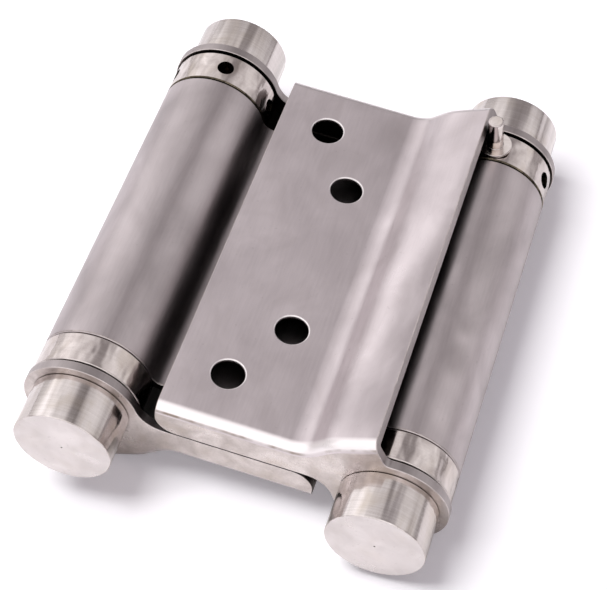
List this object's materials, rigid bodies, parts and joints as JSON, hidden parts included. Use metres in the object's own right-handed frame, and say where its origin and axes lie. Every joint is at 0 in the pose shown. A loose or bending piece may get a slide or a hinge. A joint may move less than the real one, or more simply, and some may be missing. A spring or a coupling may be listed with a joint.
{
  "type": "double action spring hinge",
  "caption": "Double action spring hinge: one rolled web forms both sprung barrels, each with a pressed leaf that swings its own way, a tension collar with a pin, and round caps.",
  "frame": {"origin": "on the upper leaf's outer mounting face, midway between the two barrels and midway along the leaf", "axes": "+X from the left barrel to the right barrel, which carries the upper leaf; +Y along both barrels, towards the tension collars; +Z out of the upper leaf's mounting face"},
  "size_m": [0.0728, 0.0918, 0.0301],
  "materials": {
    "leaf_steel": "pressed stainless sheet, satin with the grain along the hinge",
    "web_steel": "rolled stainless sheet, satin with the grain along the hinge",
    "cap_steel": "turned and polished stainless",
    "collar_steel": "turned and polished stainless",
    "pin_steel": "bright drawn stainless",
    "spindle_steel": "bright drawn steel bar",
    "spring_steel": "oiled spring steel",
    "washer_steel": "stamped steel"
  },
  "bodies": {
    "web": {"middle_web": "web_steel", "left_fixed_collar": "collar_steel", "right_fixed_collar": "collar_steel", "left_spring": "spring_steel", "right_spring": "spring_steel"},
    "upper_leaf": {"upper_leaf": "leaf_steel", "right_spindle": "spindle_steel", "right_front_cap": "cap_steel", "right_back_cap": "cap_steel", "right_front_washer": "washer_steel", "right_back_washer": "washer_steel"},
    "lower_leaf": {"lower_leaf": "leaf_steel", "left_spindle": "spindle_steel", "left_front_cap": "cap_steel", "left_back_cap": "cap_steel", "left_front_washer": "washer_steel", "left_back_washer": "washer_steel"},
    "right_collar": {"right_tension_collar": "collar_steel"},
    "left_collar": {"left_tension_collar": "collar_steel"},
    "right_pin": {"right_tension_pin": "pin_steel"},
    "left_pin": {"left_tension_pin": "pin_steel"}
  },
  "joints": [
    {"name": "upper_leaf_swing", "type": "hinge", "parent": "web", "child": "upper_leaf", "pos_m": [0.026, 0, -0.0064], "axis": [0, 1, 0], "range_deg": [0, 180], "stiffness_Nm_per_rad": 0.45, "springref_deg": -68.75, "deforming": ["right_spring"]},
    {"name": "lower_leaf_swing", "type": "hinge", "parent": "web", "child": "lower_leaf", "pos_m": [-0.026, 0, -0.0064], "axis": [0, 1, 0], "range_deg": [0, 180], "stiffness_Nm_per_rad": 0.45, "springref_deg": -68.75, "deforming": ["left_spring"]},
    {"name": "right_collar_turn", "type": "hinge", "parent": "upper_leaf", "child": "right_collar", "pos_m": [0.026, 0.0322, -0.0064], "axis": [0, 1, 0], "range_deg": [0, 60], "stiffness_Nm_per_rad": 0.45, "springref_deg": -68.75, "deforming": ["right_spring"]},
    {"name": "left_collar_turn", "type": "hinge", "parent": "lower_leaf", "child": "left_collar", "pos_m": [-0.026, 0.0322, -0.0064], "axis": [0, 1, 0], "range_deg": [-47, 12], "stiffness_Nm_per_rad": 0.45, "deforming": ["left_spring"]},
    {"name": "right_pin_lift", "type": "slide", "parent": "right_collar", "child": "right_pin", "axis": [-0.1467, 0, 0.9892], "range_m": [0, 0.002]},
    {"name": "left_pin_lift", "type": "slide", "parent": "left_collar", "child": "left_pin", "axis": [-0.6302, 0, -0.7764], "range_m": [0, 0.014]}
  ]
}
